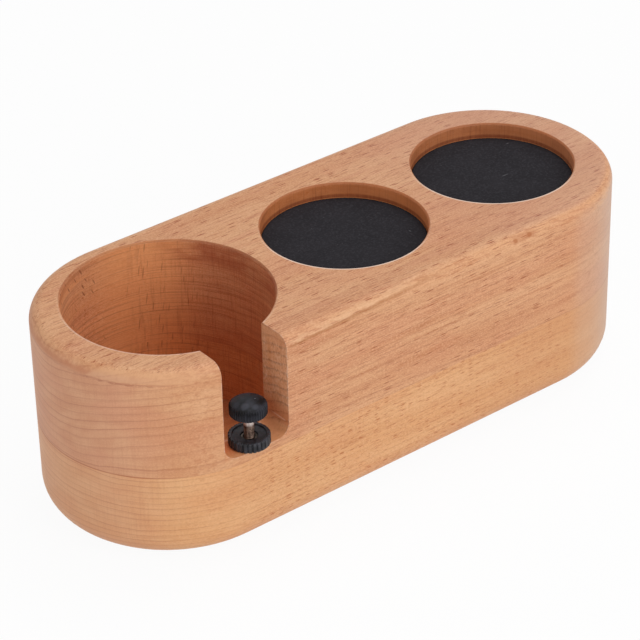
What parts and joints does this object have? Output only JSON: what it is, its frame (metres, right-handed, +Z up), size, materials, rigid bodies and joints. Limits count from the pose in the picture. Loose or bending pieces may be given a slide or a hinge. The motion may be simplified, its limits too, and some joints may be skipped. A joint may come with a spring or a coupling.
{
  "type": "espresso tamping station",
  "caption": "Round-ended wooden block with a deep notched portafilter well, a height-adjustable rest screw in the notch and shallow lined seats for tamping tools.",
  "frame": {"origin": "centre of the block's footprint on the surface that the rubber feet stand on", "axes": "+X along the block's length, away from the portafilter well; -Y towards the front face with the notch; +Z up"},
  "size_m": [0.258, 0.1025, 0.0845],
  "materials": {
    "upper_wood": "oiled beech, satin",
    "base_wood": "oiled beech, satin",
    "mat": "matte foam rubber",
    "insert_brass": "turned brass",
    "stud_steel": "zinc plated thread",
    "bush_steel": "turned steel",
    "knob_plastic": "moulded black plastic, satin crown",
    "nut_plastic": "moulded black plastic",
    "foot_rubber": "matte rubber"
  },
  "bodies": {
    "station": {"base_board": "base_wood", "upper_block": "upper_wood", "tamper_mat": "mat", "leveller_mat": "mat", "threaded_insert": "insert_brass", "foot_left_front": "foot_rubber", "foot_left_back": "foot_rubber", "foot_right_front": "foot_rubber", "foot_right_back": "foot_rubber"},
    "stud": {"screw_stud": "stud_steel"},
    "knob": {"screw_knob": "knob_plastic"},
    "nut_bush": {"lock_nut_bush": "bush_steel"},
    "nut_grip": {"lock_nut_grip": "nut_plastic"}
  },
  "joints": [
    {"name": "screw_rise", "type": "slide", "parent": "station", "child": "stud", "axis": [0, 0, 1], "range_m": [-0.0045, 0.012]},
    {"name": "screw_turn", "type": "hinge", "parent": "stud", "child": "knob", "pos_m": [-0.0753, -0.0446, 0.05585], "axis": [0, 0, 1], "range_deg": [-2315.3, 6172.4]},
    {"name": "nut_rise", "type": "slide", "parent": "station", "child": "nut_bush", "axis": [0, 0, 1], "range_m": [0, 0.004]},
    {"name": "nut_turn", "type": "hinge", "parent": "nut_bush", "child": "nut_grip", "pos_m": [-0.0753, -0.0446, 0.043], "axis": [0, 0, 1], "range_deg": [0, 2058.1]}
  ],
  "couplings": [
    {"joint": "screw_turn", "follows": "screw_rise", "rad_per_m": 8976},
    {"joint": "nut_turn", "follows": "nut_rise", "rad_per_m": 8976}
  ]
}
